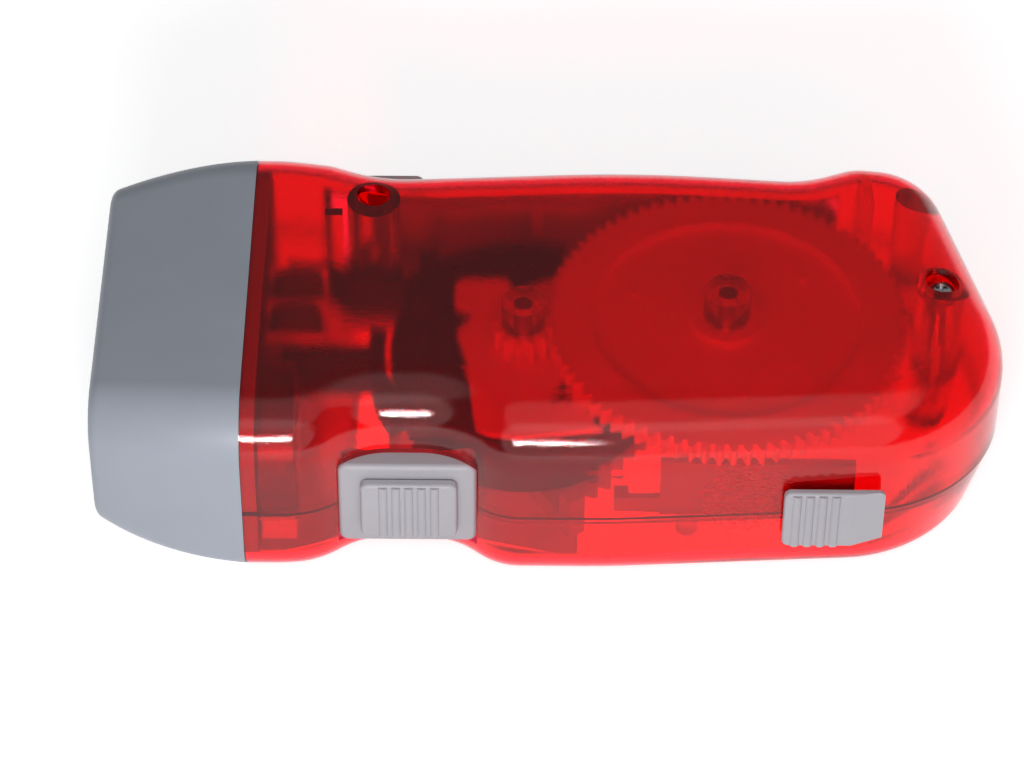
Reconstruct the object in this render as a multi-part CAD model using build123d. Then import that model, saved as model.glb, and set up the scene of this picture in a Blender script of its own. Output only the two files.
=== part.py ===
from build123d import *
import os
from math import acos, atan2, cos, degrees, pi, radians, sin, sqrt, tan

# A squeeze-lever dynamo torch, lying on the wide lower face of its case.
# Millimetres. Origin on the lower face, +X to the tail, -X to the lens,
# +Y to the squeeze lever, -Y to the thumb switch, +Z up.

# ---------------------------------------------------------------- case sizes
CASE_HEIGHT = 28.0
WALL = 1.5
SEAM_Z = 11.5              # height of the joint between the two half shells
TOP_ROUND = 8.0
BOTTOM_ROUND = 4.0
HEAD_X = -40.2             # where the case meets the bezel
LEAD_IN = 12.0             # the outline runs on this far before it is cut at HEAD_X
HEAD_FAR = 29.3            # half widths, far (+Y) side and near (-Y) side
HEAD_NEAR = -27.5
WAIST_FAR = 25.5
WAIST_NEAR = -22.5
GRIP_FAR = 27.5
GRIP_NEAR = -27.7
DIP_FAR = 25.8
HEEL_FAR = 28.6
TAIL_FAR_X = 53.1          # sharp corners of the tail before they are rounded
TAIL_NEAR_X = 66.8
TAIL_NEAR_Y = -24.2
TAIL_FAR_ROUND = 10.5
TAIL_NEAR_ROUND = 20.0
TAIL_TUCK = 3.2            # how far the lower tail edge is drawn in
LIP_HEIGHT = 1.2           # tongue of the upper shell inside the lower one
LIP_THICK = 0.7
FIT = 0.05                 # gap between pieces that are pressed or snapped together
RUN = 0.05                 # radial running clearance on a shaft
GAP = 0.3                  # clearance beside anything that moves

# --------------------------------------------------------------- head sizes
BEZEL_LENGTH = 20.2
BEZEL_LIP_ROUND = 1.8
BEZEL_WALL = 2.0
BEZEL_FRONT_WIDTH = 47.5
BEZEL_FRONT_HEIGHT = 22.4
BEZEL_FRONT_ROUND = 6.5
BEZEL_AXIS_Z = CASE_HEIGHT / 2 + 0.1
SLEEVE = 1.9               # the part of the bezel that enters the case
LENS_THICK = 1.5
LENS_RECESS = 1.6
LENS_SEAT = 2.6
LED_COUNT = 3
LED_PITCH = 12.5
LED_RADIUS = 2.5
BOWL_RADIUS = 5.7
REFLECTOR_DEPTH = 9.5
BOARD_THICK = 1.4

# -------------------------------------------------------------- drive sizes
PRESSURE_ANGLE = 25.0
BACKLASH = 0.18
RACK_MODULE = 0.8
RACK_TEETH = 114           # teeth on the full circle that the rack is an arc of
DRIVE_TEETH = 14
WHEEL_MODULE = 0.6
WHEEL_TEETH = 80
ROTOR_TEETH = 12
ADDENDUM = 0.85            # in modules
DEDENDUM = 1.1
WHEEL_X = 24.2
WHEEL_Y = 0.0
WHEEL_TOP = 21.7
WHEEL_THICK = 2.6
WHEEL_WEB_TOP = 20.9
WHEEL_RIM = 5.6
ROTOR_ANGLE = 185.0        # direction from the wheel's axis to the rotor's axis
PIVOT_X = -23.9
SHAFT_RADIUS = 1.25
ROTOR_RADIUS = 18.0
ROTOR_BOTTOM = 9.6
ROTOR_TOP = 17.6
MAGNET_HEIGHT = 5.4
STATOR_GAP = 0.6
STATOR_THICK = 2.2
PLATE_BOTTOM = 18.0
PLATE_THICK = 0.9
PLATE_POSTS = ((19.0, -18.8), (9.4, 16.6))
PLATE_TAB = (2.9, -15.4, 3.3)            # x, y, radius
COIL_X = -34.2
COIL_HALF = 4.0
COIL_FLANGES = (-2.0, 4.55, 11.1)
CELL_X = HEAD_X + SLEEVE + 0.2
CELL_THICK = 4.6
CELL_RADIUS = 10.0
CELL_Y = -14.7
CELL_Z = 13.0
CLIP_THICK = 0.3
CLIP_WIDTH = 5.0

# -------------------------------------------------------------- lever sizes
LEVER_BOTTOM = 5.2
LEVER_TOP = 18.8
LEVER_FACE = 30.0          # outer face of the closed lever
LEVER_TIP_X = 40.5
LEVER_SKIN = 2.2
LEVER_SWING = 24.0         # degrees
STOP_NUB = 2.2             # finger stop beside the pivot, proud of the lever
KNUCKLE_END = 98.0         # degrees about the pivot, front end of the lever's skin
POST_RADIUS = 3.65
PIVOT_RADIUS = 2.6
HUB_RADIUS = 5.0
HUB_TOP = 9.6
RACK_THICK = 3.0
RACK_WIDTH = 6.0
RACK_FIRST = -14.0         # degrees about the pivot, with the lever closed
RACK_LAST = -50.0
RACK_END = -57.5
CATCH_WIDE = 3.0           # degrees
CATCH_IN = 47.6
CATCH_OUT = 50.0
CATCH_TOP = 12.0

# ------------------------------------------------------- switch and lock sizes
SWITCH_X0 = -27.6
SWITCH_X1 = -9.2
SWITCH_Z0 = 4.3
SWITCH_Z1 = 18.6
SWITCH_FACE = -25.1
SWITCH_DEPTH = 4.4
THUMB_LONG = 12.8
THUMB_HIGH = 9.8
THUMB_PROUD = 1.2
THUMB_LIFT = 0.15          # above the middle of the frame
THUMB_TRAVEL = 2.2         # each way
THUMB_STEM = (6.8, 8.4)    # z0, z1
CAN_Y = -20.4              # front face of the switch can
RIB_PITCH = 1.7
RIB_RADIUS = 0.7
RIB_PROUD = 0.35
LOCK_X0 = 31.2
LOCK_X1 = 44.5
LOCK_Z0 = 6.9
LOCK_Z1 = 16.9
LOCK_FACE = -27.9
LOCK_SLOPE = 15.0          # degrees, lower edge of the slider's tail end
LOCK_BACK = -26.9
LOCK_TRAVEL = 3.5
LOCK_ARM_Y = -22.4
LOCK_ARM_THICK = 1.0
LOCK_STEM = (35.5, 40.0, 9.2, 14.2)      # x0, x1, z0, z1

# -------------------------------------------------------------- screw sizes
SCREW_RADIUS = 1.1
SCREW_HEAD = 2.0
SCREW_HEAD_HIGH = 1.6
TAIL_SCREW = (53.0, 1.6)
CORNER_POST = (50.4, 19.0)

CEILING = CASE_HEIGHT - WALL
DRIVE_BOTTOM = LEVER_BOTTOM - 0.3
WHEEL_BOTTOM = WHEEL_TOP - WHEEL_THICK
WHEEL_REACH = WHEEL_MODULE * (WHEEL_TEETH + ROTOR_TEETH) / 2
RACK_REACH = RACK_MODULE * (RACK_TEETH + DRIVE_TEETH) / 2
ROTOR_X = WHEEL_X + WHEEL_REACH * cos(radians(ROTOR_ANGLE))
ROTOR_Y = WHEEL_Y + WHEEL_REACH * sin(radians(ROTOR_ANGLE))
PIVOT_Y = WHEEL_Y + sqrt(RACK_REACH**2 - (WHEEL_X - PIVOT_X)**2)
STATOR_IN = ROTOR_RADIUS + STATOR_GAP
STATOR_OUT = STATOR_IN + STATOR_THICK
BEZEL_FRONT_X = HEAD_X - BEZEL_LENGTH
HEAD_WIDTH = HEAD_FAR - HEAD_NEAR
HEAD_MIDDLE = (HEAD_FAR + HEAD_NEAR) / 2
LENS_X = BEZEL_FRONT_X + LENS_RECESS
ROTOR_PINION_TOP = WHEEL_TOP + 0.4
SHAFT_TOP = CEILING - 0.8
SCREWS = (                               # x, y, top of the head, tip
    (PIVOT_X, PIVOT_Y, 19.0, 4.0),
    (TAIL_SCREW[0], TAIL_SCREW[1], CASE_HEIGHT - 1.4, 4.0),
)

Z_UP = (Align.CENTER, Align.CENTER, Align.MIN)


# ------------------------------------------------------------ small builders
def disc(x, y, z0, z1, radius):
    """Upright cylinder between two heights."""
    return Pos(x, y, z0) * Cylinder(radius, z1 - z0, align=Z_UP)


def tube(x, y, z0, z1, radius, bore):
    """Upright tube between two heights."""
    return disc(x, y, z0, z1, radius) - disc(x, y, z0 - 1, z1 + 1, bore)


def block(x0, x1, y0, y1, z0, z1):
    """Box between two corners."""
    middle = Pos((x0 + x1) / 2, (y0 + y1) / 2, (z0 + z1) / 2)
    return middle * Box(x1 - x0, y1 - y0, z1 - z0)


def rod_x(x0, x1, y, z, radius):
    """Cylinder along X."""
    return Pos(x0, y, z) * Rot(0, 90, 0) * Cylinder(radius, x1 - x0, align=Z_UP)


def polar(x, y, radius, angle):
    """Point at a radius and an angle in degrees about (x, y)."""
    return (x + radius * cos(radians(angle)), y + radius * sin(radians(angle)))


def arc_band(x, y, r_in, r_out, a0, a1, z0, z1):
    """Part of a ring about (x, y), from angle a0 to a1 in degrees."""
    middle = (a0 + a1) / 2
    inner = [polar(x, y, r_in, a) for a in (a0, middle, a1)]
    outer = [polar(x, y, r_out, a) for a in (a0, middle, a1)]
    rim = [
        ThreePointArc(*inner),
        Line(inner[2], outer[2]),
        ThreePointArc(*reversed(outer)),
        Line(outer[0], inner[0]),
    ]
    face = make_face(rim)
    return Pos(0, 0, z0) * extrude(face, z1 - z0, dir=(0, 0, 1))


def slab(points, radii, z0, z1):
    """Plate whose outline is a polygon with rounded corners."""
    outline = FilletPolyline(*points, radius=radii, close=True)
    return Pos(0, 0, z0) * extrude(make_face(outline), z1 - z0, dir=(0, 0, 1))


def involute(angle):
    """Involute function of an angle in radians."""
    return tan(angle) - angle


def gear_face(teeth, module, phase, first=0, count=None, r_in=None):
    """Outline of a spur gear, or of an arc of one with its inner radius r_in.

    phase is the direction of the middle of tooth 0, in degrees.
    """
    pressure = radians(PRESSURE_ANGLE)
    pitch = module * teeth / 2
    base = pitch * cos(pressure)
    tip = pitch + ADDENDUM * module
    root = pitch - DEDENDUM * module
    half = (pi * module - BACKLASH) / 4 / pitch + involute(pressure)
    start = max(base, root)
    rows = []
    for radius in (start, (start + tip) / 2, tip):
        spread = half - involute(acos(min(1.0, base / radius)))
        rows.append((radius, degrees(spread)))
    step = 360.0 / teeth
    edges = []
    number = teeth if count is None else count
    for tooth in range(first, first + number):
        middle = phase + tooth * step
        low = [polar(0, 0, r, middle - s) for r, s in rows]
        high = [polar(0, 0, r, middle + s) for r, s in rows]
        foot = polar(0, 0, root, middle - rows[0][1])
        toe = polar(0, 0, root, middle + rows[0][1])
        if start > root:
            edges.append(Line(foot, low[0]))
        edges.append(ThreePointArc(*low))
        edges.append(ThreePointArc(low[2], polar(0, 0, tip, middle), high[2]))
        edges.append(ThreePointArc(*reversed(high)))
        if start > root:
            edges.append(Line(high[0], toe))
        heel = polar(0, 0, root, middle + step - rows[0][1])
        valley = polar(0, 0, root, middle + step / 2)
        if count is None or tooth < first + number - 1:
            edges.append(ThreePointArc(toe, valley, heel))
    if count is not None:
        a0 = phase + first * step - rows[0][1]
        a1 = phase + (first + number - 1) * step + rows[0][1]
        inner = [polar(0, 0, r_in, a) for a in (a1, (a0 + a1) / 2, a0)]
        edges.append(Line(polar(0, 0, root, a1), inner[0]))
        edges.append(ThreePointArc(*inner))
        edges.append(Line(inner[2], polar(0, 0, root, a0)))
    return make_face(edges)


def gear(x, y, z0, z1, teeth, module, phase):
    """Spur gear between two heights."""
    face = gear_face(teeth, module, phase)
    return Pos(x, y, z0) * extrude(face, z1 - z0, dir=(0, 0, 1))


def edges_at(solid, z):
    """Edges of a solid that lie at one height."""
    return solid.edges().filter_by_position(Axis.Z, z - 0.01, z + 0.01)


def save(name, *solids):
    """Write the solids of one node."""
    pieces = []
    for shape in solids:
        pieces.extend(shape.solids())
    part = pieces[0] if len(pieces) == 1 else Compound(children=pieces)
    part.label = name
    export_step(part, f"parts/{name}.step")


# --------------------------------------------------------------------- case
def case_outline(tuck, inset):
    """Plan of the case, drawn in at the tail by tuck and all round by inset."""
    start = HEAD_X - LEAD_IN
    corners = [
        (start, HEAD_FAR, 0.0),
        (HEAD_X + 4.2, HEAD_FAR, 25.0),
        (-29.5, HEAD_FAR - 1.0, 10.0),
        (-22.5, WAIST_FAR, 16.0),
        (12.0, GRIP_FAR, 160.0),
        (35.0, DIP_FAR, 12.0),
        (42.2 - 0.3 * tuck, HEEL_FAR, 9.0),
        (TAIL_FAR_X - tuck, HEEL_FAR - 1.3, TAIL_FAR_ROUND - 0.8 * tuck),
        (TAIL_NEAR_X - tuck, TAIL_NEAR_Y, TAIL_NEAR_ROUND),
        (8.0, GRIP_NEAR, 120.0),
        (-6.6, GRIP_NEAR, 9.0),
        (-13.0, WAIST_NEAR, 10.0),
        (-24.0, WAIST_NEAR, 10.0),
        (-30.5, HEAD_NEAR + 0.3, 12.0),
        (HEAD_X + 4.2, HEAD_NEAR, 25.0),
        (start, HEAD_NEAR, 0.0),
    ]
    points = [(x, y) for x, y, _ in corners]
    radii = [r for _, _, r in corners]
    face = make_face(FilletPolyline(*points, radius=radii, close=True))
    if inset:
        face = offset(face, -inset, kind=Kind.INTERSECTION).faces()[0]
    return face


def case_core(inset):
    """Upper and lower blocks of the case, or of the room inside it."""
    wide = case_outline(0.0, inset)
    narrow = case_outline(TAIL_TUCK, inset)
    upper = Pos(0, 0, SEAM_Z) * extrude(wide, CASE_HEIGHT - inset - SEAM_Z, dir=(0, 0, 1))
    upper = fillet(edges_at(upper, CASE_HEIGHT - inset), TOP_ROUND - inset)
    lower = loft([Pos(0, 0, inset) * narrow, Pos(0, 0, SEAM_Z) * wide], ruled=True)
    lower = fillet(edges_at(lower, inset), BOTTOM_ROUND - inset)
    front = block(HEAD_X - 2 * LEAD_IN, HEAD_X - (5.0 if inset else 0.0), -50, 50, -5, 50)
    return upper - front, lower - front


def lever_slot():
    """Room for the lever in the far wall."""
    z0 = LEVER_BOTTOM - GAP
    z1 = LEVER_TOP + GAP
    reach = LEVER_FACE + STOP_NUB - PIVOT_Y + GAP
    swing = arc_band(PIVOT_X, PIVOT_Y, 4.0, reach, 60, KNUCKLE_END + LEVER_SWING + 2, z0, z1)
    run = block(PIVOT_X, LEVER_TIP_X + GAP, PIVOT_Y + 3.5, 40, z0, z1)
    return swing + run


def lock_slot():
    """Slot for the stem of the lock slider."""
    z0 = LOCK_STEM[2] - GAP
    z1 = LOCK_STEM[3] + GAP
    return block(LOCK_STEM[0] - LOCK_TRAVEL - GAP, LOCK_STEM[1] + GAP, -40, LOCK_ARM_Y - 0.2, z0, z1)


def switch_window():
    """Hole in the near wall for the switch frame."""
    return block(SWITCH_X0 - FIT, SWITCH_X1 + FIT, -40, SWITCH_FACE + SWITCH_DEPTH,
                 SWITCH_Z0 - FIT, SWITCH_Z1 + FIT)


def case_shells():
    """Upper and lower half shells with their posts, bosses and ribs."""
    outer_top, outer_low = case_core(0.0)
    inner_top, inner_low = case_core(WALL)
    upper = outer_top - inner_top
    lower = outer_low - inner_low

    lip_out = case_outline(0.0, WALL - LIP_THICK)
    lip_in = case_outline(0.0, WALL)
    groove_out = case_outline(0.0, WALL - LIP_THICK - FIT)
    front = block(-90, HEAD_X + SLEEVE + 0.3, -50, 50, -5, 50)
    lip = extrude(lip_out - lip_in, LIP_HEIGHT, dir=(0, 0, 1))
    lip = Pos(0, 0, SEAM_Z - LIP_HEIGHT) * lip - front
    groove = extrude(groove_out, LIP_HEIGHT + FIT, dir=(0, 0, 1))
    groove = Pos(0, 0, SEAM_Z - LIP_HEIGHT - FIT) * groove - front
    upper = upper + lip
    lower = lower - groove

    # Posts and bosses that hang from the ceiling, cut to the inner skin.
    split = HUB_TOP + GAP
    hang = disc(PIVOT_X, PIVOT_Y, split, CEILING, POST_RADIUS)
    hang += disc(WHEEL_X, WHEEL_Y, WHEEL_TOP + GAP, CEILING, 3.2)
    hang += disc(ROTOR_X, ROTOR_Y, ROTOR_PINION_TOP + GAP, CEILING, 2.95)
    hang += disc(*TAIL_SCREW, SEAM_Z, CEILING, 3.4)
    hang += disc(*CORNER_POST, SEAM_Z, CEILING, 2.6)
    hang += block(-30.5, -28.1, 14.2, 15.6, split, CEILING)
    hang += arc_band(PIVOT_X, PIVOT_Y, 67.4, 68.7, -0.5, 6.5, SEAM_Z, CEILING)
    hang &= inner_top + block(-39, 60, -22, 22, 5, SEAM_Z)
    upper = upper + hang

    # Posts and bosses that stand on the floor.
    stand = disc(PIVOT_X, PIVOT_Y, WALL, split, PIVOT_RADIUS)
    stand += disc(PIVOT_X, PIVOT_Y, WALL, LEVER_BOTTOM - GAP, PIVOT_RADIUS + 1.2)
    stand += disc(WHEEL_X, WHEEL_Y, WALL, DRIVE_BOTTOM - GAP, 3.4)
    stand += disc(ROTOR_X, ROTOR_Y, WALL, ROTOR_BOTTOM - GAP, 2.9)
    stand += disc(*TAIL_SCREW, WALL, SEAM_Z, 3.0)
    stand += disc(*CORNER_POST, WALL, SEAM_Z, 2.6)
    for x, y in PLATE_POSTS:
        stand += disc(x, y, WALL, PLATE_BOTTOM, 1.5)
    stand += arc_band(PIVOT_X, PIVOT_Y, 67.4, 68.7, -2.5, 5.5, WALL, SEAM_Z - LIP_HEIGHT)
    stand += block(CELL_X, CELL_X + CELL_THICK, -21.5, -7.5, WALL, CELL_Z - CELL_RADIUS + 2.6)
    stand -= rod_x(CELL_X - 1, CELL_X + CELL_THICK + 1, CELL_Y, CELL_Z, CELL_RADIUS + FIT)
    floor_room = inner_low + block(-39, 60, -22, 22, 5, PLATE_BOTTOM)
    stand &= floor_room
    lower = lower + stand

    # Screw holes from above, blind holes for the two shafts.
    for x, y, head_z, tip_z in SCREWS:
        upper -= disc(x, y, -1, CASE_HEIGHT + 1, SCREW_RADIUS + 0.1)
        upper -= disc(x, y, head_z - SCREW_HEAD_HIGH, CASE_HEIGHT + 1, SCREW_HEAD + 0.3)
        lower -= disc(x, y, tip_z - 0.5, CASE_HEIGHT, SCREW_RADIUS + FIT)
    for x, y in ((WHEEL_X, WHEEL_Y), (ROTOR_X, ROTOR_Y)):
        upper -= disc(x, y, 0, SHAFT_TOP + FIT, SHAFT_RADIUS + FIT)
        lower -= disc(x, y, WALL, CASE_HEIGHT, SHAFT_RADIUS + FIT)

    # Openings: lever slot, switch window and lock slot.
    cuts = lever_slot() + switch_window() + lock_slot()
    keep = tube(PIVOT_X, PIVOT_Y, split, CEILING, POST_RADIUS, SCREW_HEAD + 0.3)
    upper = upper - (cuts - keep)
    lower = lower - cuts
    return largest(upper), largest(lower)


def largest(shape):
    """The main solid, without crumbs that a cut leaves."""
    return max(shape.solids(), key=lambda solid: solid.volume)


# -------------------------------------------------------------------- bezel
def ring_section(x, width, height, base, round_top, round_low):
    """Rounded upright section across the head at one X."""
    y0 = HEAD_MIDDLE - width / 2
    y1 = HEAD_MIDDLE + width / 2
    corners = [(y0, base), (y1, base), (y1, base + height), (y0, base + height)]
    radii = [round_low, round_low, round_top, round_top]
    outline = FilletPolyline(*corners, radius=radii, close=True)
    plane = Plane(origin=(x, 0, 0), x_dir=(0, 1, 0), z_dir=(1, 0, 0))
    return plane * make_face(outline)


def bezel_rows(inset):
    """Sections of the bezel from the case to the front, drawn in by inset."""
    base = BEZEL_AXIS_Z - BEZEL_FRONT_HEIGHT / 2
    rows = [
        (0.0, HEAD_WIDTH, CASE_HEIGHT, 0.0, TOP_ROUND, BOTTOM_ROUND),
        (0.33, HEAD_WIDTH - 1.2, CASE_HEIGHT - 0.7, 0.35, TOP_ROUND, BOTTOM_ROUND + 0.6),
        (0.66, HEAD_WIDTH - 4.1, CASE_HEIGHT - 2.5, 1.2, 7.6, BOTTOM_ROUND + 1.4),
        (1.0, BEZEL_FRONT_WIDTH, BEZEL_FRONT_HEIGHT, base, BEZEL_FRONT_ROUND, BEZEL_FRONT_ROUND),
    ]
    faces = []
    for share, width, height, low, top, bottom in rows:
        x = HEAD_X - share * BEZEL_LENGTH
        faces.append(ring_section(x, width - 2 * inset, height - 2 * inset, low + inset,
                                  top - inset, bottom - inset))
    return faces


def bezel():
    """Tapered grey shell round the lens, with a sleeve that enters the case."""
    outer = loft(bezel_rows(0.0))
    front = outer.faces().sort_by(Axis.X)[0]
    outer = fillet(front.edges(), BEZEL_LIP_ROUND)
    inner = loft(bezel_rows(BEZEL_WALL))
    inner -= block(-90, LENS_X, -50, 50, -5, 50)
    window = ring_section(BEZEL_FRONT_X - 1, BEZEL_FRONT_WIDTH - 2 * LENS_SEAT,
                          BEZEL_FRONT_HEIGHT - 2 * LENS_SEAT,
                          BEZEL_AXIS_Z - BEZEL_FRONT_HEIGHT / 2 + LENS_SEAT, 4.0, 4.0)
    window = extrude(window, 4.0, dir=(1, 0, 0))
    sleeve_out = ring_section(HEAD_X - 0.01, HEAD_WIDTH - 2 * WALL - 4 * FIT,
                              CASE_HEIGHT - 2 * WALL - 4 * FIT, WALL + 2 * FIT,
                              TOP_ROUND - WALL, BOTTOM_ROUND - WALL)
    sleeve_in = ring_section(HEAD_X - 0.5, HEAD_WIDTH - 2 * WALL - 2.4,
                             CASE_HEIGHT - 2 * WALL - 2.4, WALL + 1.2,
                             TOP_ROUND - WALL - 1, BOTTOM_ROUND - WALL - 1)
    sleeve = extrude(sleeve_out, SLEEVE, dir=(1, 0, 0)) - extrude(sleeve_in, SLEEVE + 2, dir=(1, 0, 0))
    shell = outer - inner - window
    ledge = extrude(ring_section(HEAD_X - 1.6, HEAD_WIDTH - 2.0, CASE_HEIGHT - 2.0, 1.0,
                                 TOP_ROUND - 1, BOTTOM_ROUND - 1), 1.6, dir=(1, 0, 0))
    ledge -= extrude(sleeve_in, 4, dir=(-1, 0, 0)) + extrude(sleeve_in, 4, dir=(1, 0, 0))
    return largest(shell + ledge + sleeve)


def lens_face(x, inset):
    """Section that fits the bezel behind its front lip."""
    return ring_section(x, BEZEL_FRONT_WIDTH - 2 * BEZEL_WALL - inset,
                        BEZEL_FRONT_HEIGHT - 2 * BEZEL_WALL - inset,
                        BEZEL_AXIS_Z - BEZEL_FRONT_HEIGHT / 2 + BEZEL_WALL + inset / 2, 4.4, 4.4)


def head_parts():
    """Lens, reflector, lamp board and lamps."""
    lens = extrude(lens_face(LENS_X + FIT, 0.2), LENS_THICK, dir=(1, 0, 0))
    back = LENS_X + LENS_THICK + 2 * FIT
    reflector = extrude(lens_face(back, 0.2), REFLECTOR_DEPTH, dir=(1, 0, 0))
    lamps = []
    board_x = back + REFLECTOR_DEPTH + FIT
    for number in range(LED_COUNT):
        y = HEAD_MIDDLE + (number - (LED_COUNT - 1) / 2) * LED_PITCH
        place = Pos(back - 0.01, y, BEZEL_AXIS_Z) * Rot(0, 90, 0)
        bowl = place * Cone(BOWL_RADIUS, LED_RADIUS + 0.6, REFLECTOR_DEPTH - 2, align=Z_UP)
        reflector -= bowl
        reflector -= rod_x(back, back + REFLECTOR_DEPTH + 1, y, BEZEL_AXIS_Z, LED_RADIUS + 0.15)
        flange = rod_x(board_x - 1.0, board_x, y, BEZEL_AXIS_Z, LED_RADIUS + 0.1)
        body = rod_x(board_x - 5.6, board_x, y, BEZEL_AXIS_Z, LED_RADIUS)
        dome = Pos(board_x - 5.6, y, BEZEL_AXIS_Z) * Sphere(LED_RADIUS)
        lamps.append(body + dome + flange)
    board = block(board_x, board_x + BOARD_THICK, HEAD_MIDDLE - 21.0, HEAD_MIDDLE + 21.0,
                  BEZEL_AXIS_Z - 8.5, BEZEL_AXIS_Z + 8.5)
    return lens, reflector, board, lamps


# -------------------------------------------------------------------- drive
def toward(x0, y0, x1, y1):
    """Direction from one point to another, in degrees."""
    return degrees(atan2(y1 - y0, x1 - x0))


def wheel_train():
    """Big wheel, drive pinion, ratchet disc, rotor pinion and their phases."""
    to_rotor = toward(WHEEL_X, WHEEL_Y, ROTOR_X, ROTOR_Y)
    wheel = gear(WHEEL_X, WHEEL_Y, WHEEL_BOTTOM, WHEEL_TOP, WHEEL_TEETH, WHEEL_MODULE, to_rotor)
    rim = WHEEL_MODULE * WHEEL_TEETH / 2 - WHEEL_RIM
    wheel -= tube(WHEEL_X, WHEEL_Y, WHEEL_WEB_TOP, WHEEL_TOP + 1, rim, 5.0)
    pocket = disc(WHEEL_X, WHEEL_Y, WHEEL_BOTTOM - 1, WHEEL_BOTTOM + 1.1, 9.0)
    for number in range(12):
        angle = number * 30.0
        notch = [polar(WHEEL_X, WHEEL_Y, 8.8, angle), polar(WHEEL_X, WHEEL_Y, 10.2, angle),
                 polar(WHEEL_X, WHEEL_Y, 8.8, angle + 27.0)]
        face = make_face(Polyline(*notch, close=True))
        pocket += Pos(0, 0, WHEEL_BOTTOM - 1) * extrude(face, 2.1, dir=(0, 0, 1))
    wheel -= pocket
    for angle in (37.0, 157.0, 277.0):
        x, y = polar(WHEEL_X, WHEEL_Y, 13.5, angle)
        wheel += disc(x, y, WHEEL_WEB_TOP - 0.3, WHEEL_WEB_TOP + 0.25, 0.7)
    bore = SHAFT_RADIUS + RUN
    wheel -= disc(WHEEL_X, WHEEL_Y, 0, 40, bore)

    to_pivot = toward(WHEEL_X, WHEEL_Y, PIVOT_X, PIVOT_Y)
    pinion = gear(WHEEL_X, WHEEL_Y, DRIVE_BOTTOM, LEVER_BOTTOM + RACK_THICK + 0.5, DRIVE_TEETH,
                  RACK_MODULE, to_pivot + 180.0 / DRIVE_TEETH)
    pinion += disc(WHEEL_X, WHEEL_Y, LEVER_BOTTOM + RACK_THICK, WHEEL_BOTTOM - 0.2, 3.6)
    pinion -= disc(WHEEL_X, WHEEL_Y, 0, 40, bore)

    ratchet = disc(WHEEL_X, WHEEL_Y, WHEEL_BOTTOM - 0.1, WHEEL_BOTTOM + 0.9, 3.6)
    for number in range(3):
        angle = number * 120.0 + 4.0
        pawl = arc_band(WHEEL_X, WHEEL_Y, 7.2, 8.3, angle, angle + 78.0,
                        WHEEL_BOTTOM - 0.1, WHEEL_BOTTOM + 0.9)
        arm = arc_band(WHEEL_X, WHEEL_Y, 3.0, 8.3, angle + 66.0, angle + 78.0,
                       WHEEL_BOTTOM - 0.1, WHEEL_BOTTOM + 0.9)
        ratchet += pawl + arm
    ratchet -= disc(WHEEL_X, WHEEL_Y, 0, 40, bore)
    return wheel, pinion, ratchet


def rotor_parts():
    """Rotor pinion with its hub, flywheel and ring magnet."""
    to_wheel = toward(ROTOR_X, ROTOR_Y, WHEEL_X, WHEEL_Y)
    bore = SHAFT_RADIUS + RUN
    magnet_top = ROTOR_BOTTOM + MAGNET_HEIGHT
    pinion = gear(ROTOR_X, ROTOR_Y, WHEEL_BOTTOM - 0.2, ROTOR_PINION_TOP, ROTOR_TEETH,
                  WHEEL_MODULE, to_wheel + 180.0 / ROTOR_TEETH)
    pinion += disc(ROTOR_X, ROTOR_Y, ROTOR_BOTTOM, WHEEL_BOTTOM - 0.1, 2.9)
    pinion -= disc(ROTOR_X, ROTOR_Y, 0, 40, bore)
    flywheel = disc(ROTOR_X, ROTOR_Y, magnet_top, ROTOR_TOP, ROTOR_RADIUS)
    flywheel = chamfer(edges_at(flywheel, ROTOR_TOP), 0.4)
    flywheel -= tube(ROTOR_X, ROTOR_Y, ROTOR_TOP - 0.6, ROTOR_TOP + 1, 13.5, 5.2)
    flywheel -= disc(ROTOR_X, ROTOR_Y, 0, 40, 2.9 + FIT)
    magnet = tube(ROTOR_X, ROTOR_Y, ROTOR_BOTTOM, magnet_top, ROTOR_RADIUS - 0.2, 10.5)
    spider = tube(ROTOR_X, ROTOR_Y, ROTOR_BOTTOM + 1, magnet_top, 10.5 - FIT, 9.3)
    spider += tube(ROTOR_X, ROTOR_Y, ROTOR_BOTTOM + 1, magnet_top, 4.4, 2.9 + FIT)
    for number in range(4):
        angle = number * 90.0
        spider += arc_band(ROTOR_X, ROTOR_Y, 4.2, 9.5, angle - 8, angle + 8,
                           ROTOR_BOTTOM + 1, magnet_top)
    return pinion, flywheel, magnet, spider


def bridge_plate():
    """Light plate between the rotor and the wheel, on two posts."""
    points = [(-12.6, 4.4), (-12.6, 9.8), (-5.6, 9.8), (-4.4, 7.4), (2.0, 10.4), (7.4, 19.0),
              (11.6, 19.0), (13.0, 4.0),
              (21.5, -14.0), (21.5, -21.0), (16.0, -21.0), (10.0, -17.5), (-4.0, -19.5),
              (-9.2, -18.8), (-10.4, -8.0), (-12.3, -0.4), (-9.4, 3.0)]
    radii = [1.8, 1.8, 0.8, 1.0, 3.0, 1.8, 1.8, 6.0, 2.4, 2.4, 2.0, 3.0, 6.0, 2.0, 12.0, 1.0, 0.8]
    top = PLATE_BOTTOM + PLATE_THICK
    plate = slab(points, radii, PLATE_BOTTOM, top)
    plate -= disc(ROTOR_X, ROTOR_Y, PLATE_BOTTOM - 1, top + 1, 2.9 + 0.6)
    crescent = slab([(3.4, -8.0), (6.6, -12.4), (10.2, -16.6), (8.4, -18.6), (0.0, -12.6)],
                    [0.5, 3.0, 0.8, 0.8, 0.8], PLATE_BOTTOM - 1, top + 1)
    tab = disc(PLATE_TAB[0], PLATE_TAB[1], PLATE_BOTTOM - 1, top + 1, PLATE_TAB[2])
    plate -= crescent - tab
    for x, y in PLATE_POSTS:
        plate -= disc(x, y, PLATE_BOTTOM - 1, top + 1, 0.9)
    return plate


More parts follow.
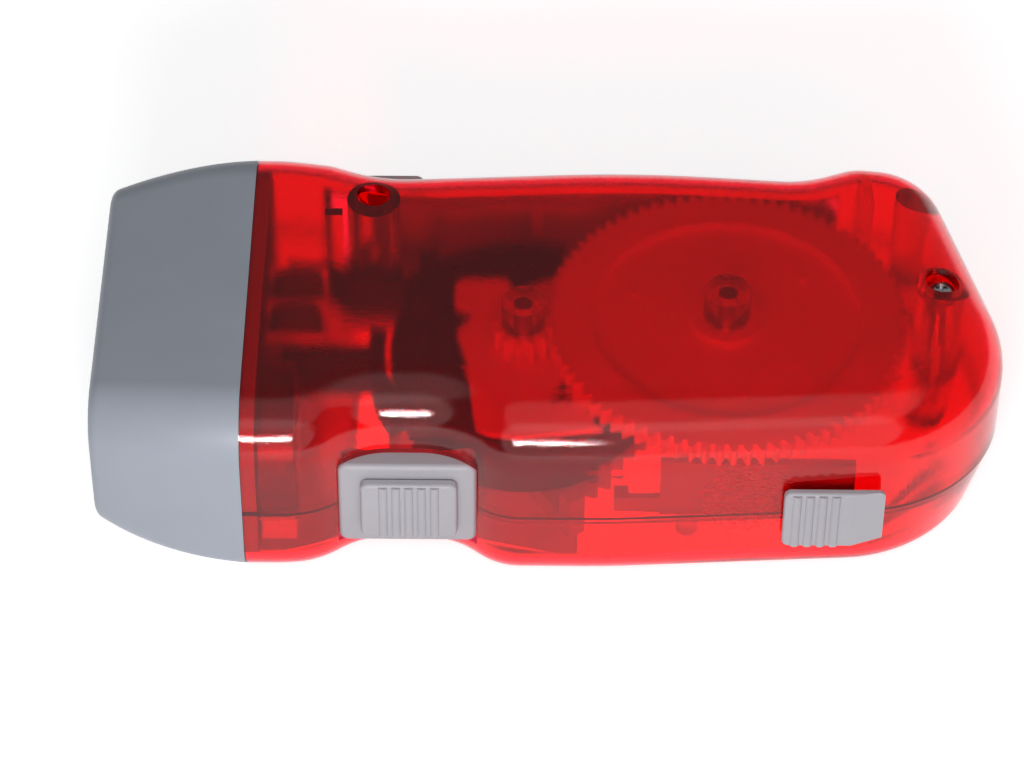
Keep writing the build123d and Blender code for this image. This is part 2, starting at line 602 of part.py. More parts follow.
def stator_parts():
    """Steel core and pole arcs, coil former and its two windings."""
    z0 = ROTOR_BOTTOM + 2.0
    z1 = ROTOR_TOP + 0.4
    core_x = COIL_X
    far = arc_band(ROTOR_X, ROTOR_Y, STATOR_IN, STATOR_OUT, 74, 141, z0, z1)
    far += slab([(core_x - 1.6, 12.3), (core_x - 1.6, 14.0), (-30.2, 13.9), (-27.8, 12.5),
                 (-20.0, 12.3), (-19.4, 9.4), (-27.6, 10.4), (-29.9, 12.3)], [0.3] * 8, z0, z1)
    block_x, block_y = polar(ROTOR_X, ROTOR_Y, STATOR_OUT + 0.4, 128)
    far += Pos(block_x, block_y, z0) * Box(2.6, 5.0, z1 - z0, align=Z_UP)
    near = arc_band(ROTOR_X, ROTOR_Y, STATOR_IN, STATOR_OUT, 172, 212, z0, z1)
    near += slab([(core_x - 1.6, -4.2), (core_x - 1.6, -2.6), (-22.6, -2.2), (-22.6, -4.6)],
                 [0.3] * 4, z0, z1)
    middle = (z0 + z1) / 2
    core = block(core_x - 1.5, core_x + 1.5, -3.0, 12.8, middle - 2.2, middle + 2.2)
    room = disc(ROTOR_X, ROTOR_Y, 0, 40, STATOR_IN)
    stator = (far + near + core) - room

    bobbin = block(core_x - 2.3, core_x + 2.3, -2.0, 12.0, middle - 3.0, middle + 3.0)
    for y in COIL_FLANGES:
        bobbin += block(core_x - COIL_HALF, core_x + COIL_HALF, y, y + 0.9,
                        middle - COIL_HALF, middle + COIL_HALF)
    bobbin -= block(core_x - 1.5 - FIT, core_x + 1.5 + FIT, -5, 20,
                    middle - 2.2 - FIT, middle + 2.2 + FIT)
    windings = []
    for y0, y1 in zip(COIL_FLANGES[:-1], COIL_FLANGES[1:]):
        outside = block(core_x - 3.5, core_x + 3.5, y0 + 0.9 + FIT, y1 - FIT,
                        middle - 4.4, middle + 4.4)
        outside = fillet(outside.edges().filter_by(Axis.Y), 1.8)
        windings.append(outside - block(core_x - 2.3 - FIT, core_x + 2.3 + FIT, -5, 20,
                                        middle - 3.0 - FIT, middle + 3.0 + FIT))
    return stator, bobbin, windings


# -------------------------------------------------------------------- lever
def lever_parts():
    """Squeeze lever with its hub, toothed rack and catch."""
    nub_x = PIVOT_X + 6.0
    face = LEVER_FACE
    z0, z1 = LEVER_BOTTOM, LEVER_TOP
    knuckle = face + STOP_NUB - PIVOT_Y
    outline = [(PIVOT_X - 1.0, PIVOT_Y + 9.0), (PIVOT_X - 1.0, PIVOT_Y + knuckle),
               (nub_x, PIVOT_Y + knuckle), (nub_x + 2.4, face - 0.9),
               (8.0, face), (34.0, face - 0.3), (LEVER_TIP_X, face - 4.6),
               (LEVER_TIP_X, face - 8.0)]
    radii = [0.5, 1.6, 1.2, 3.0, 60.0, 12.0, 1.5, 0.5]
    solid = slab(outline, radii, z0, z1)
    solid += arc_band(PIVOT_X, PIVOT_Y, 8.4, knuckle, 84, KNUCKLE_END, z0, z1)
    solid = fillet([e for e in edges_at(solid, z1) if e.center().Y > face - 6], 0.8)
    solid = fillet([e for e in edges_at(solid, z0) if e.center().Y > face - 6], 0.8)
    hollow = slab([(PIVOT_X + 8.6, PIVOT_Y), (PIVOT_X + 8.6, face - LEVER_SKIN - 0.6),
                   (8.0, face - LEVER_SKIN), (33.4, face - LEVER_SKIN - 0.3),
                   (LEVER_TIP_X - LEVER_SKIN, face - LEVER_SKIN - 3.6),
                   (LEVER_TIP_X - LEVER_SKIN, PIVOT_Y)],
                  [0.5, 0.5, 50.0, 9.0, 0.6, 0.5], z0 + 1.8, z1 - 1.8)
    solid -= hollow
    for x in (-2.0, 11.0, 24.0):
        solid += block(x, x + 1.4, face - 7.8, face - LEVER_SKIN + 0.2, z0 + 1.0, z1 - 1.0)

    # Hub round the pivot post, with a web out to the skin.
    low = z0 + RACK_THICK
    solid += disc(PIVOT_X, PIVOT_Y, z0, HUB_TOP, HUB_RADIUS)
    solid += block(PIVOT_X - 1.4, PIVOT_X + 7.6, PIVOT_Y + 2.0, face - 3.0, z0, low)
    solid += block(PIVOT_X + 3.0, PIVOT_X + 7.6, PIVOT_Y + 7.0, face - 3.0, z0, z1 - 0.5)
    bore = disc(PIVOT_X, PIVOT_Y, 0, 40, PIVOT_RADIUS + RUN)
    crown = disc(PIVOT_X, PIVOT_Y, HUB_TOP, 40, POST_RADIUS + 1.3)

    # Rack: an arc of a large spur gear, carried by a web under the lever.
    outer = RACK_MODULE * RACK_TEETH / 2 - DEDENDUM * RACK_MODULE
    inner = outer - RACK_WIDTH
    to_wheel = toward(PIVOT_X, PIVOT_Y, WHEEL_X, WHEEL_Y)
    step = 360.0 / RACK_TEETH
    first = int((RACK_LAST - to_wheel) / step)
    last = int((RACK_FIRST - to_wheel) / step)
    teeth = gear_face(RACK_TEETH, RACK_MODULE, to_wheel, first, last - first + 1, inner)
    rack = Pos(PIVOT_X, PIVOT_Y, z0) * extrude(teeth, RACK_THICK, dir=(0, 0, 1))
    start = to_wheel + last * step
    rack += arc_band(PIVOT_X, PIVOT_Y, inner, outer, start - 1, 12.0, z0, low)
    rack += arc_band(PIVOT_X, PIVOT_Y, inner, outer, RACK_END, to_wheel + first * step + 1, z0, low)
    catch = arc_band(PIVOT_X, PIVOT_Y, outer - 1.5, CATCH_OUT, RACK_END, RACK_END + CATCH_WIDE,
                     z0, low)
    catch += arc_band(PIVOT_X, PIVOT_Y, CATCH_IN, CATCH_OUT, RACK_END, RACK_END + CATCH_WIDE,
                      z0, CATCH_TOP)
    rack += catch
    return largest((solid + rack) - bore - crown)


def lever_spring():
    """Torsion spring round the pivot post, above the lever's hub."""
    wire = 0.4
    radius = POST_RADIUS + wire + 0.15
    turns = 4
    z0 = HUB_TOP + 0.6
    pitch = 1.0
    path = Helix(pitch=pitch, height=pitch * turns, radius=radius)
    start = path @ 0
    section = Plane(origin=start, z_dir=path % 0) * Circle(wire)
    coil = sweep(section, path=path)
    return Pos(PIVOT_X, PIVOT_Y, z0) * coil


# ----------------------------------------------------------- switch and lock
def ribbed(x0, x1, y_face, y_back, z0, z1, first, count):
    """Slab with rounded edges and raised upright finger ribs."""
    piece = block(x0, x1, y_face, y_back, z0, z1)
    piece = fillet(piece.edges().filter_by(Axis.Y), 1.0)
    front = piece.faces().sort_by(Axis.Y)[0]
    piece = fillet(front.edges(), 0.5)
    for number in range(count):
        x = first + number * RIB_PITCH
        rib = disc(x, y_face + RIB_RADIUS - RIB_PROUD, z0 + 0.3, z1 - 0.3, RIB_RADIUS)
        piece += rib & block(x0, x1, y_face - 1, y_back, z0, z1)
    return piece


def switch_parts():
    """Frame, sliding thumb piece, switch can and its knob."""
    frame = block(SWITCH_X0, SWITCH_X1, SWITCH_FACE, SWITCH_FACE + SWITCH_DEPTH - 0.6,
                  SWITCH_Z0, SWITCH_Z1)
    frame = fillet(frame.edges().filter_by(Axis.Y), 1.3)
    frame = fillet(frame.faces().sort_by(Axis.Y)[0].edges(), 0.7)
    middle = (SWITCH_X0 + SWITCH_X1) / 2 + 0.2
    stem_z = THUMB_STEM
    window = block(middle - 1.6 - THUMB_TRAVEL - GAP, middle + 1.6 + THUMB_TRAVEL + GAP, -40, 0,
                   stem_z[0] - GAP, stem_z[1] + GAP)
    frame -= window
    thumb_z = (SWITCH_Z0 + SWITCH_Z1) / 2 + THUMB_LIFT
    thumb = ribbed(middle - THUMB_LONG / 2, middle + THUMB_LONG / 2,
                   SWITCH_FACE - GAP - THUMB_PROUD, SWITCH_FACE - GAP,
                   thumb_z - THUMB_HIGH / 2, thumb_z + THUMB_HIGH / 2,
                   middle - 2 * RIB_PITCH, 5)
    thumb += block(middle - 1.6, middle + 1.6, SWITCH_FACE - GAP - 0.5, CAN_Y - GAP, *stem_z)
    can = block(middle - 6.0, middle + 6.0, CAN_Y, CAN_Y + 5.4, 3.4, 8.9)
    slot = block(middle - 1.0 - THUMB_TRAVEL - GAP, middle + 1.0 + THUMB_TRAVEL + GAP,
                 CAN_Y - 1, CAN_Y + 3.0, stem_z[0] - 0.1, stem_z[1] + 0.1)
    can -= slot
    knob = block(middle - 1.0, middle + 1.0, CAN_Y - GAP, CAN_Y + 2.7, stem_z[0] + 0.2, stem_z[1] - 0.2)
    return frame, thumb, can, knob


def lock_parts():
    """Lock slider on the near side, with its stem and inner arm."""
    x0, x1, z0, z1 = LOCK_STEM
    cap = ribbed(LOCK_X0, LOCK_X1, LOCK_FACE, LOCK_BACK, LOCK_Z0, LOCK_Z1,
                 LOCK_X0 + 1.7, 4)
    lean = Pos(LOCK_X1, LOCK_FACE, 0) * Rot(0, 0, 8) * Box(16, 1.6, 60)
    cap -= Pos(-5.0, -0.9, 0) * lean
    below = Pos(x1 - 0.6, 0, LOCK_Z0) * Rot(0, -LOCK_SLOPE, 0) * Box(20, 80, 10, align=(
        Align.MIN, Align.CENTER, Align.MAX))
    cap -= below
    cap += block(x0, x1, LOCK_BACK - 0.4, LOCK_ARM_Y - 0.2, z0, z1)
    arm_face = LOCK_ARM_Y - LOCK_ARM_THICK
    cap -= block(x0 - 1, x1 + 1, arm_face - FIT, 0, z0 - 1, z1 + 1)
    arm = block(15.0, x1 + 0.6, arm_face, LOCK_ARM_Y, z0 - 0.2, 18.2)
    arm += block(8.9, 16.0, arm_face, LOCK_ARM_Y, z0 + 0.2, 12.0)
    arm += block(8.9, 10.9, arm_face, LOCK_ARM_Y + 1.4, z0 + 0.2, 12.0)
    return cap, arm


# ------------------------------------------------------------ small hardware
def screw(x, y, head_z, tip_z):
    """Cross-head screw, head up."""
    body = disc(x, y, tip_z, head_z, SCREW_RADIUS)
    head = disc(x, y, head_z - SCREW_HEAD_HIGH + FIT, head_z, SCREW_HEAD)
    head = fillet(edges_at(head, head_z), 0.6)
    cross = Box(2.4, 0.6, 1.6) + Box(0.6, 2.4, 1.6)
    return body + head - Pos(x, y, head_z) * cross


def cell_clips():
    """Two thin metal strips that hold the cell by its flat sides."""
    y0, y1 = CELL_Y - CLIP_WIDTH / 2, CELL_Y + CLIP_WIDTH / 2
    top = CELL_Z + CELL_RADIUS / 2
    over_sleeve = WALL + 1.2 + 2 * FIT
    left = block(CELL_X - FIT - CLIP_THICK, CELL_X - FIT, y0, y1, over_sleeve, top)
    x = CELL_X + CELL_THICK + FIT
    right = block(x, x + CLIP_THICK, y0, y1, WALL + FIT, top)
    return left, right


def main():
    os.makedirs("parts", exist_ok=True)
    upper, lower = case_shells()
    save("upper_shell", upper)
    save("lower_shell", lower)
    save("bezel", bezel())

    lens, reflector, board, lamps = head_parts()
    save("lens", lens)
    save("reflector", reflector)
    save("lamp_board", board)
    save("led_lamps", *lamps)

    wheel, pinion, ratchet = wheel_train()
    save("big_gear", wheel)
    save("drive_pinion", pinion)
    save("ratchet_disc", ratchet)
    rotor_pinion, flywheel, magnet, spider = rotor_parts()
    save("rotor_pinion", rotor_pinion)
    save("flywheel", flywheel)
    save("ring_magnet", magnet)
    save("magnet_hub", spider)
    save("gear_shaft", disc(WHEEL_X, WHEEL_Y, WALL + FIT, SHAFT_TOP, SHAFT_RADIUS))
    save("rotor_shaft", disc(ROTOR_X, ROTOR_Y, WALL + FIT, SHAFT_TOP, SHAFT_RADIUS))
    save("bridge_plate", bridge_plate())

    stator, bobbin, windings = stator_parts()
    save("stator_core", stator)
    save("coil_former", bobbin)
    save("coil_windings", *windings)
    cell = rod_x(CELL_X, CELL_X + CELL_THICK, CELL_Y, CELL_Z, CELL_RADIUS)
    save("button_cell", cell)
    save("cell_clips", *cell_clips())

    save("squeeze_lever", lever_parts())
    save("lever_spring", lever_spring())

    frame, thumb, can, knob = switch_parts()
    save("switch_frame", frame)
    save("switch_slider", thumb)
    save("switch_can", can)
    save("switch_knob", knob)
    slider, arm = lock_parts()
    save("lock_slider", slider)
    save("lock_arm", arm)

    for name, place in zip(("pivot_screw", "tail_screw"), SCREWS):
        save(name, screw(*place))


main()
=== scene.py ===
import bpy
import math
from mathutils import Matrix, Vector


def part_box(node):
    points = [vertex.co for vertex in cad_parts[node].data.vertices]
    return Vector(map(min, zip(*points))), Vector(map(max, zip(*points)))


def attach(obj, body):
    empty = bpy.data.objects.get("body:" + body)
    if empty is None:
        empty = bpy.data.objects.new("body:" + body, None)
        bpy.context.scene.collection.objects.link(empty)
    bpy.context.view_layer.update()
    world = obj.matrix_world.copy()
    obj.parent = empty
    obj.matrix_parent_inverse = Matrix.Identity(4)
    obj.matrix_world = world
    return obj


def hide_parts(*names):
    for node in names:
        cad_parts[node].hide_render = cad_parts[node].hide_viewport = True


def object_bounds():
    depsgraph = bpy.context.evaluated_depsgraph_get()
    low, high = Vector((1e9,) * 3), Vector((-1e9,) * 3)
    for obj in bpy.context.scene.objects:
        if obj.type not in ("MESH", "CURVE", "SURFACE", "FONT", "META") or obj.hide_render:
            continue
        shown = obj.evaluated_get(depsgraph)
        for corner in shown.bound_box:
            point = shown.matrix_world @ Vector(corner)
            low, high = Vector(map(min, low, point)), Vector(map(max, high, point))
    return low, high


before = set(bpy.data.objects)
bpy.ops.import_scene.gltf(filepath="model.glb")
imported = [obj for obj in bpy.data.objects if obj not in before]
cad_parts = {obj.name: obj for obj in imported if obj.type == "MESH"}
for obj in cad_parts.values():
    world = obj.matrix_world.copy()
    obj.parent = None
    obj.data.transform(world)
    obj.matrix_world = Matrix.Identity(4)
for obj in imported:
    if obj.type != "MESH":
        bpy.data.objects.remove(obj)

cad_low, cad_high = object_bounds()
bpy.ops.object.select_all(action="DESELECT")


# The head of the torch is one blue-grey moulding that narrows to the lens.
# It has a fine satin grain from the mould, cloudy patches of tone, and faint rubbed streaks where its
# gloss varies.
class Value:
    """An output socket of a shader node, on which Python operators work."""

    def __init__(self, finish, socket):
        self.finish = finish
        self.socket = socket

    def _math(self, operation, first, second):
        return self.finish.node("Math", {"operation": operation}, {0: first, 1: second})

    def __add__(self, other):
        return self._math("ADD", self, other)

    def __radd__(self, other):
        return self._math("ADD", other, self)

    def __mul__(self, other):
        return self._math("MULTIPLY", self, other)

    def __rmul__(self, other):
        return self._math("MULTIPLY", other, self)

    def __gt__(self, other):
        return self._math("GREATER_THAN", self, other)

    def __lt__(self, other):
        return self._math("LESS_THAN", self, other)


class Finish:
    """A material that is built up node by node."""

    def __init__(self, name):
        self.material = bpy.data.materials.new(name)
        self.material.use_nodes = True
        self.tree = self.material.node_tree
        self.shader = self.tree.nodes["Principled BSDF"]
        self.plain = Value(self, self.shader.outputs[0])
        self.place = self.node("TexCoord", out="Object")

    def node(self, kind, settings=None, inputs=None, out=0):
        """Add a node with its settings, then its socket values or links."""
        made = self.tree.nodes.new("ShaderNode" + kind)
        for name, value in (settings or {}).items():
            if name == "stops":
                ramp = made.color_ramp
                for place, (position, colour) in enumerate(value):
                    stop = ramp.elements[place] if place < 2 else ramp.elements.new(position)
                    stop.position = position
                    stop.color = (*colour, 1.0)
            else:
                setattr(made, name, value)
        for name, value in (inputs or {}).items():
            self.feed(made.inputs[name], value)
        return Value(self, made.outputs[out])

    def feed(self, socket, value):
        if isinstance(value, Value):
            self.tree.links.new(value.socket, socket)
        else:
            socket.default_value = value

    def set(self, **values):
        """Set or link the main shader's sockets by name."""
        for name, value in values.items():
            self.feed(self.shader.inputs[name.replace("_", " ").title().replace("Ior", "IOR")], value)

    def noise(self, scale, detail, stretch=(1.0, 1.0, 1.0), turn=0.0):
        """Noise about 1 / scale metres across, drawn out along an axis by stretch."""
        place = self.node("Mapping", None, {"Vector": self.place, "Scale": stretch,
                                            "Rotation": (0.0, 0.0, turn)})
        return self.node("TexNoise", None, {"Vector": place, "Scale": scale, "Detail": detail})

    def ramp(self, factor, *stops):
        """Colours between stops, each a position and a colour."""
        return self.node("ValToRGB", {"stops": stops}, {"Fac": factor}, out="Color")

    def bump(self, height, depth):
        """Relief of this depth in metres."""
        normal = self.node("Bump", None, {"Height": height, "Strength": 1.0, "Distance": depth})
        self.set(normal=normal)

    def cover(self, shader):
        """Use this shader in place of the plain one."""
        self.feed(self.tree.nodes["Material Output"].inputs["Surface"], shader)

    def dress(self, *names):
        """Give this material to nodes of the frame."""
        for name in names:
            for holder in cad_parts[name].material_slots:
                holder.material = self.material


def moulded_plastic(name, dark, pale, roughness, grain=2600.0, depth=0.000012):
    """Opaque moulded plastic with a mould grain, cloudy patches and handling marks."""
    finish = Finish(name)
    patches = finish.noise(55.0, 4.0)
    fine = finish.noise(grain, 2.0)
    rub = finish.noise(240.0, 5.0, (1.0, 4.0, 1.0))
    finish.set(base_color=finish.ramp(patches, (0.3, dark), (0.7, pale)),
               roughness=roughness + 0.10 * rub + 0.05 * patches)
    finish.bump(fine + 0.35 * rub, depth)
    return finish


head_grey = moulded_plastic("head grey", (0.325, 0.350, 0.405), (0.355, 0.380, 0.437), 0.34)
head_grey.dress("bezel")


# The two half shells are clear red plastic, polished outside, so that all of
# the works show through, a little blurred. They carry hairline scratches,
# specks of dust and one scuffed patch on the near side by the lock slider.
clear_red = Finish("clear red")
hairlines = clear_red.noise(520.0, 6.0, (1.0, 16.0, 1.0), 0.5)
specks = clear_red.noise(2300.0, 1.0)
scuff_middle = (0.0265, -0.0277, 0.0150)
scuff_radius = 0.0065
from_scuff = clear_red.node("VectorMath", {"operation": "DISTANCE"}, {
    0: clear_red.place, 1: scuff_middle}, out="Value")
scuffed = (from_scuff < scuff_radius) * (clear_red.noise(900.0, 6.0, (1.0, 1.0, 5.0), 0.8) > 0.57)
wear = (hairlines > 0.66) * 0.08 + (specks > 0.76) * 0.20 + scuffed * 0.35
clear_red.set(base_color=(0.80, 0.004, 0.016, 1.0), roughness=0.055 + wear, ior=1.49)
clear_red.set(transmission_weight=0.96)
clear_red.bump(hairlines + clear_red.noise(70.0, 2.0) * 0.6, 0.000015)
let_light_in = clear_red.node("BsdfTransparent", None, {"Color": (0.88, 0.07, 0.09, 1.0)})
most_walls = 7.0
passes = clear_red.node("Math", {"operation": "MAXIMUM"}, {
    0: clear_red.node("LightPath", out="Is Shadow Ray"),
    1: clear_red.node("LightPath", out="Transmission Depth") > most_walls})
clear_red.cover(clear_red.node("MixShader", None, {
    0: passes, 1: clear_red.plain, 2: let_light_in}))
clear_red.dress("upper_shell", "lower_shell")


# Grey satin mouldings that the hand works: the squeeze lever, the switch
# frame with its ribbed thumb piece, and the lock slider with its inner arm.
trim_grey = moulded_plastic("trim grey", (0.375, 0.365, 0.395), (0.415, 0.400, 0.432), 0.38, 2200.0)
trim_grey.dress("squeeze_lever", "switch_frame", "switch_slider", "lock_slider", "lock_arm")


# The wheels are natural acetal, milky and a little waxy, with a faint mould grain and cloudy patches.
natural_acetal = moulded_plastic("natural acetal", (0.78, 0.74, 0.66), (0.86, 0.83, 0.76), 0.30, 1500.0)
natural_acetal.set(subsurface_weight=0.12, subsurface_scale=0.0015)
natural_acetal.dress("big_gear", "drive_pinion", "ratchet_disc", "rotor_pinion", "magnet_hub")
pale_plate = moulded_plastic("pale plate", (0.80, 0.77, 0.72), (0.90, 0.87, 0.82), 0.36, 1800.0)
pale_plate.dress("bridge_plate", "coil_former")


# Metal pieces: plain shafts, spring and clips, the blackened flywheel and
# stator stampings, the plated reflector and screws, and the cell's sleeve.
def metal(name, dark, pale, roughness, brush):
    """Bare or plated metal with drawn marks along brush."""
    finish = Finish(name)
    marks = finish.noise(900.0, 5.0, brush)
    stain = finish.noise(120.0, 4.0)
    finish.set(base_color=finish.ramp(stain, (0.35, dark), (0.65, pale)), metallic=1.0,
               roughness=roughness + 0.18 * marks)
    finish.bump(marks, 0.000006)
    return finish


plain_steel = metal("plain steel", (0.50, 0.50, 0.51), (0.66, 0.66, 0.67), 0.22, (1.0, 1.0, 9.0))
plain_steel.dress("gear_shaft", "rotor_shaft", "lever_spring", "cell_clips", "switch_can")
black_steel = metal("blackened steel", (0.030, 0.030, 0.033), (0.065, 0.064, 0.068), 0.40,
                    (1.0, 1.0, 1.0))
black_steel.dress("flywheel", "stator_core")
bright_plate = metal("bright plate", (0.72, 0.72, 0.73), (0.84, 0.84, 0.85), 0.10, (1.0, 1.0, 1.0))
bright_plate.dress("reflector")
cell_sleeve = metal("cell sleeve", (0.10, 0.10, 0.11), (0.17, 0.17, 0.18), 0.30, (9.0, 1.0, 1.0))
cell_sleeve.dress("button_cell")


# Two plated screws hold the halves together, one deep in the lever's post and
# one at the tail. Each is cold-headed, with a low dome, a tapered cross recess
# and a rolled thread.
def choose_faces(thing, wanted):
    """Select the faces of a mesh that pass a test, and stay in edit mode."""
    bpy.ops.object.mode_set(mode="EDIT")
    bpy.ops.mesh.select_mode(type="FACE")
    bpy.ops.mesh.select_all(action="DESELECT")
    bpy.ops.object.mode_set(mode="OBJECT")
    for face in thing.data.polygons:
        face.select = wanted(face)
    bpy.ops.object.mode_set(mode="EDIT")


def settle(thing, name, finish):
    """Give a new piece its name and finish, with its place in its mesh."""
    bpy.ops.object.mode_set(mode="OBJECT")
    bpy.ops.object.select_all(action="DESELECT")
    thing.select_set(True)
    bpy.context.view_layer.objects.active = thing
    bpy.ops.object.transform_apply()
    thing.name = name
    thing.data.materials.clear()
    thing.data.materials.append(finish.material)


def ridges(turns, step, along, narrow, centre):
    """Extrude the chosen face in steps that are narrow and wide by turns."""
    across = Vector([1.0 if part else narrow for part in along])
    for turn in range(turns):
        for width in (across, Vector([1.0 / part for part in across])):
            bpy.ops.mesh.extrude_region_move(
                TRANSFORM_OT_translate={"value": Vector(along) * step / 2})
            bpy.ops.transform.resize(value=width, center_override=centre)


def cut_away(thing, cutter):
    """Cut one closed mesh out of another."""
    bpy.ops.object.mode_set(mode="OBJECT")
    bpy.ops.object.select_all(action="DESELECT")
    bpy.context.view_layer.objects.active = thing
    thing.select_set(True)
    cut = thing.modifiers.new("cut", "BOOLEAN")
    cut.operation = "DIFFERENCE"
    cut.solver = "EXACT"
    cut.use_self = True
    cut.object = cutter
    bpy.ops.object.modifier_apply(modifier="cut")
    bpy.data.objects.remove(cutter)


def add_screw(node):
    """Pan-head screw where the frame has its plain screw."""
    low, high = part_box(node)
    middle_x = (low.x + high.x) / 2
    middle_y = (low.y + high.y) / 2
    head_radius = (high.x - low.x) / 2
    head_high = 0.00155
    rim_high = 0.00060
    shank_radius = 0.0011
    plain_shank = 0.0020
    pitch = 0.0008
    root_share = 0.78
    point_share = 0.35
    dome = ((0.00018, 0.00036), (0.00035, 0.00028), (0.00055, 0.00021), (0.0005, 0.0001))
    under_head = high.z - head_high
    bpy.ops.mesh.primitive_cylinder_add(vertices=40, radius=head_radius, depth=rim_high,
                                        location=(middle_x, middle_y, under_head + rim_high / 2))
    made = bpy.context.object
    bpy.ops.object.transform_apply()
    choose_faces(made, lambda face: face.normal.z > 0.9)
    for width, rise in dome:
        bpy.ops.mesh.inset(thickness=width, depth=rise)
    choose_faces(made, lambda face: face.normal.z < -0.9)
    bpy.ops.mesh.inset(thickness=head_radius - shank_radius)
    bpy.ops.mesh.extrude_region_move(TRANSFORM_OT_translate={"value": (0.0, 0.0, -plain_shank)})
    centre = (middle_x, middle_y, under_head)
    turns = int((under_head - plain_shank - low.z) / pitch) - 1
    ridges(turns, pitch, (0.0, 0.0, -1.0), root_share, centre)
    tip = low.z - (under_head - plain_shank - turns * pitch)
    bpy.ops.mesh.extrude_region_move(TRANSFORM_OT_translate={"value": (0.0, 0.0, tip)})
    bpy.ops.transform.resize(value=(point_share, point_share, 1.0), center_override=centre)
    bpy.ops.object.mode_set(mode="OBJECT")

    recess_long = 0.0023
    recess_wide = 0.00055
    recess_deep = 0.0012
    recess_taper = (0.45, 0.6, 1.0)
    bpy.ops.mesh.primitive_cube_add(size=1.0, location=(middle_x, middle_y, high.z))
    cross = bpy.context.object
    cross.scale = (recess_long, recess_wide, 2 * recess_deep)
    bpy.ops.object.transform_apply()
    choose_faces(cross, lambda face: face.normal.z < -0.9)
    bpy.ops.transform.resize(value=recess_taper, center_override=centre)
    bpy.ops.mesh.select_all(action="SELECT")
    bpy.ops.mesh.duplicate()
    bpy.ops.transform.rotate(value=math.pi / 2, orient_axis="Z", center_override=centre)
    cut_away(made, cross)

    bpy.ops.object.mode_set(mode="EDIT")
    bpy.ops.mesh.select_all(action="SELECT")
    bpy.ops.mesh.remove_doubles(threshold=0.000002)
    bpy.ops.mesh.normals_make_consistent(inside=False)
    settle(made, "turned_" + node, bright_plate)
    bpy.ops.object.shade_smooth_by_angle(angle=math.radians(32.0))
    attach(made, "case")
    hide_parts(node)


add_screw("pivot_screw")
add_screw("tail_screw")


# Two black pieces deep in the case, with a dull coarse grain: the sintered
# ring magnet of the rotor, and the knob of the switch.
dark_ferrite = moulded_plastic("dark ferrite", (0.020, 0.020, 0.022), (0.040, 0.039, 0.041), 0.55, 900.0)
dark_ferrite.dress("ring_magnet", "switch_knob")


# The coil has two windings of fine enamelled wire on one former, each taped
# over, so that its turns show only as low rings.
coil_tape = moulded_plastic("coil tape", (0.045, 0.022, 0.014), (0.085, 0.040, 0.024), 0.42, 1200.0)
coil_low, coil_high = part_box("coil_windings")
middle_flange = 0.0010
coil_long = (coil_high.y - coil_low.y - middle_flange) / 2
coil_turn = 0.00052
coil_valley = 0.955
coil_corner = 0.0018
coil_bore = (0.0048, 0.0062)
first_slice = 0.0001
coil_middle = (coil_low + coil_high) / 2
coil_turns = int(coil_long / coil_turn)
for side, start in (("near", coil_low.y), ("far", coil_low.y + coil_long + middle_flange)):
    bpy.ops.mesh.primitive_cube_add(size=1.0, location=(
        coil_middle.x, start + first_slice / 2, coil_middle.z))
    winding = bpy.context.object
    winding.scale = (coil_high.x - coil_low.x, first_slice, coil_high.z - coil_low.z)
    bpy.ops.object.transform_apply()
    bpy.ops.object.mode_set(mode="EDIT")
    bpy.ops.mesh.select_mode(type="EDGE")
    bpy.ops.mesh.select_all(action="DESELECT")
    bpy.ops.object.mode_set(mode="OBJECT")
    for edge in winding.data.edges:
        first, second = (winding.data.vertices[corner].co for corner in edge.vertices)
        edge.select = abs(first.y - second.y) > first_slice / 2
    bpy.ops.object.mode_set(mode="EDIT")
    bpy.ops.mesh.bevel(offset=coil_corner, segments=5, affect="EDGES")
    choose_faces(winding, lambda face: face.normal.y > 0.9)
    ridges(coil_turns, (coil_long - first_slice) / coil_turns, (0.0, 1.0, 0.0), coil_valley,
           (coil_middle.x, 0.0, coil_middle.z))
    bpy.ops.object.mode_set(mode="OBJECT")
    bpy.ops.mesh.primitive_cube_add(size=1.0, location=(
        coil_middle.x, start + coil_long / 2, coil_middle.z))
    bore = bpy.context.object
    bore.scale = (coil_bore[0], 2 * coil_long, coil_bore[1])
    bpy.ops.object.transform_apply()
    cut_away(winding, bore)
    settle(winding, side + "_winding", coil_tape)
    bpy.ops.object.shade_smooth_by_angle(angle=math.radians(40.0))
    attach(winding, "case")
    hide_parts("coil_windings")


# The lamps stand on a circuit board behind the reflector, which has a satin
# green lacquer.
board_green = moulded_plastic("lamp board", (0.020, 0.085, 0.040), (0.030, 0.120, 0.055), 0.40, 1600.0)
board_green.dress("lamp_board")


# The lens and the three lamps are water-clear mouldings, polished, with a
# faint ripple from the mould.
def clear_moulding(name, colour, roughness):
    """Colourless clear plastic that lets light through to what is behind it."""
    finish = Finish(name)
    ripple = finish.noise(160.0, 2.0)
    finish.set(base_color=(*colour, 1.0), roughness=roughness, ior=1.47, transmission_weight=1.0)
    finish.bump(ripple, 0.000008)
    through = finish.node("BsdfTransparent", None, {"Color": (*colour, 1.0)})
    finish.cover(finish.node("MixShader", None, {
        0: finish.node("LightPath", out="Is Shadow Ray"), 1: finish.plain, 2: through}))
    return finish


clear_moulding("clear lens", (0.96, 0.97, 0.97), 0.03).dress("lens")
clear_moulding("lamp resin", (0.93, 0.95, 0.97), 0.06).dress("led_lamps")


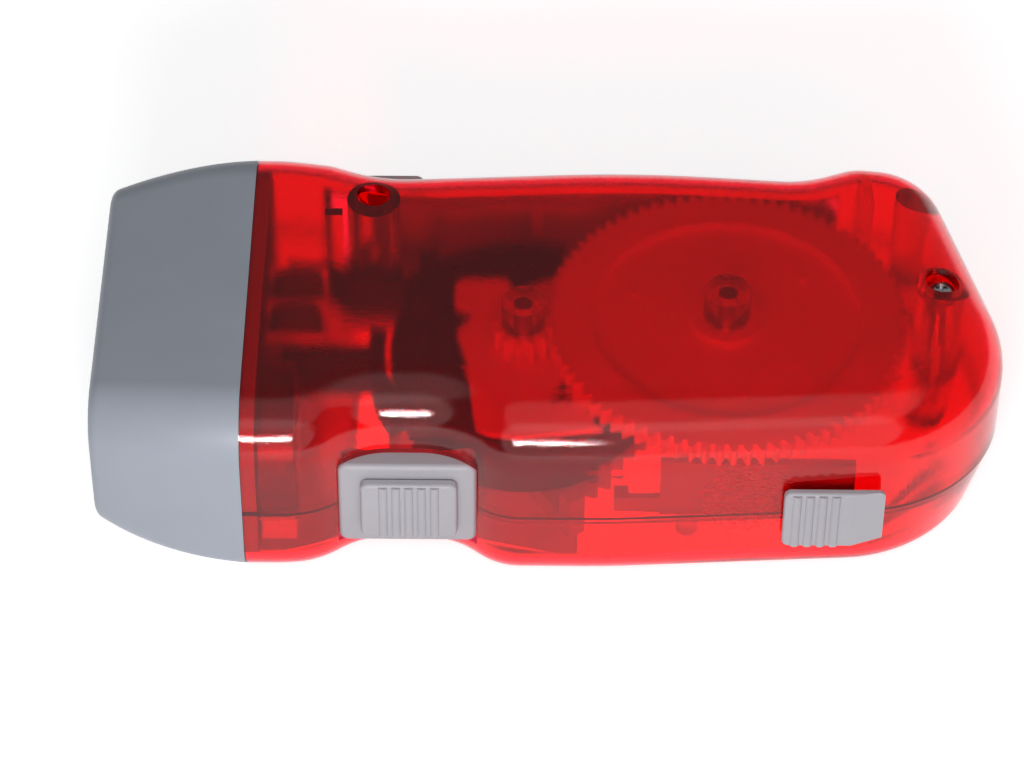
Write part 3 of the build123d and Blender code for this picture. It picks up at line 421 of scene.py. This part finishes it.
# A plain pale floor under the torch. To the camera, and in gloss and clear
# plastic, it is lifted towards white, and it still takes the shadow.
bpy.ops.mesh.primitive_plane_add(size=6.0, location=(0.0, 0.0, 0.0))
floor = bpy.context.object
floor.name = "floor"
floor_finish = Finish("pale floor")
seeing_rays = floor_finish.node("LightPath", out="Is Camera Ray")
for kind in ("Is Glossy Ray", "Is Transmission Ray"):
    seeing_rays = seeing_rays + floor_finish.node("LightPath", out=kind)
floor_lift = 0.60
lift = floor_finish.node("Emission", None, {
    "Color": (1.0, 1.0, 1.0, 1.0), "Strength": floor_lift * seeing_rays})
floor_finish.set(base_color=(0.90, 0.90, 0.90, 1.0), roughness=0.85)
floor_finish.cover(floor_finish.node("AddShader", None, {0: floor_finish.plain, 1: lift}))
floor.data.materials.append(floor_finish.material)


# Plain soft studio light: a small key close by on the near side, two wide
# faint fills, one behind it and one high up, and an even grey surround.
middle = (cad_low + cad_high) / 2


def soft_lamp(name, watts, width, height, place):
    """Oval area lamp that faces the middle of the torch."""
    bpy.ops.object.light_add(type="AREA", location=place)
    lamp = bpy.context.object
    lamp.name = name
    lamp.data.shape = "ELLIPSE"
    lamp.data.size = width
    lamp.data.size_y = height
    lamp.data.energy = watts
    lamp.rotation_euler = (middle - Vector(place)).to_track_quat("-Z", "Y").to_euler()


soft_lamp("key", 0.62, 0.11, 0.032, (-0.032, -0.35, 0.165))
soft_lamp("near fill", 3.6, 1.30, 1.30, (0.00, -0.90, 0.48))
soft_lamp("high fill", 2.4, 1.40, 1.40, (0.10, -0.35, 1.15))
surround = bpy.data.worlds.new("surround")
bpy.context.scene.world = surround
surround.use_nodes = True
background = surround.node_tree.nodes["Background"]
background.inputs["Color"].default_value = (0.90, 0.92, 0.95, 1.0)
background.inputs["Strength"].default_value = 0.20


# The camera looks down at the near side from half way up, through a long
# lens, turned by half a degree as in the photograph.
aim = Vector((-0.0047, -0.0049, 0.0140))
distance = 0.54
elevation = math.radians(45.0)
roll = math.radians(0.5)
bpy.ops.object.camera_add(
    location=aim + distance * Vector((0.0, -math.cos(elevation), math.sin(elevation))))
camera = bpy.context.object
camera.name = "camera"
camera.data.lens = 140.0
camera.data.sensor_width = 36.0
camera.data.clip_start = 0.01
camera.rotation_euler = (math.pi / 2 - elevation, 0.0, 0.0)
camera.rotation_euler.rotate_axis("Z", roll)
bpy.context.scene.camera = camera
bpy.context.scene.view_settings.view_transform = "Standard"
